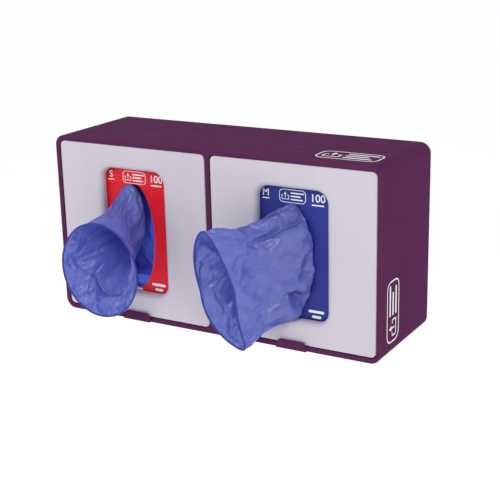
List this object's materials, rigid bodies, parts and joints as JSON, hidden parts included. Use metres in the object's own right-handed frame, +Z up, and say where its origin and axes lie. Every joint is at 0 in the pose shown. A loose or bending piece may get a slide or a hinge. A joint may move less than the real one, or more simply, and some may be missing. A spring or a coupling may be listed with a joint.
{
  "type": "disposable glove dispenser",
  "caption": "Wall-mounted twin-bay dispenser for cartons of disposable gloves, with hinged windowed doors, sprung latches and a glove drawn from each oval opening.",
  "frame": {"origin": "middle of the flat back face, which lies against the wall", "axes": "+X to the right along the length, +Y into the wall, +Z up"},
  "size_m": [0.3, 0.1514, 0.154],
  "materials": {
    "housing_plastic": "dark purple moulded plastic, satin",
    "door_plastic": "pale lilac-grey moulded plastic, semi-gloss",
    "pin_steel": "drawn steel",
    "red_board": "red printed and varnished carton board",
    "blue_board": "dark blue printed and varnished carton board",
    "glove_film": "thin violet-blue nitrile film, matte"
  },
  "bodies": {
    "root": {"housing": "housing_plastic", "hinge_pin_left": "pin_steel", "hinge_pin_middle": "pin_steel", "hinge_pin_right": "pin_steel", "carton_left": "red_board", "carton_right": "blue_board", "next_glove_left": "glove_film", "next_glove_right": "glove_film", "glove_bundle_left_back": "glove_film", "glove_bundle_left_middle": "glove_film", "glove_bundle_left_front": "glove_film", "glove_bundle_right_back": "glove_film", "glove_bundle_right_middle": "glove_film", "glove_bundle_right_front": "glove_film"},
    "door_left": {"door_left": "door_plastic"},
    "door_right": {"door_right": "door_plastic"},
    "latch_left": {"latch_left": "housing_plastic"},
    "latch_right": {"latch_right": "housing_plastic"},
    "glove_left": {"glove_left": "glove_film"},
    "glove_right": {"glove_right": "glove_film"}
  },
  "joints": [
    {"name": "door_left_hinge", "type": "hinge", "parent": "root", "child": "door_left", "pos_m": [-0.07405, -0.0914, 0.0682], "axis": [-1, 0, 0], "range_deg": [0, 100]},
    {"name": "door_right_hinge", "type": "hinge", "parent": "root", "child": "door_right", "pos_m": [0.07405, -0.0914, 0.0682], "axis": [-1, 0, 0], "range_deg": [0, 100]},
    {"name": "latch_left_flex", "type": "hinge", "parent": "root", "child": "latch_left", "pos_m": [-0.07405, -0.0606, -0.0751], "axis": [1, 0, 0], "range_deg": [0, 8], "stiffness_Nm_per_rad": 0.1, "springref_deg": -1.15},
    {"name": "latch_right_flex", "type": "hinge", "parent": "root", "child": "latch_right", "pos_m": [0.07405, -0.0606, -0.0751], "axis": [1, 0, 0], "range_deg": [0, 8], "stiffness_Nm_per_rad": 0.1, "springref_deg": -1.15},
    {"name": "glove_left_draw", "type": "slide", "parent": "door_left", "child": "glove_left", "axis": [0, -1, 0], "range_m": [0, 0.06]},
    {"name": "glove_right_draw", "type": "slide", "parent": "door_right", "child": "glove_right", "axis": [0, -1, 0], "range_m": [0, 0.06]}
  ]
}
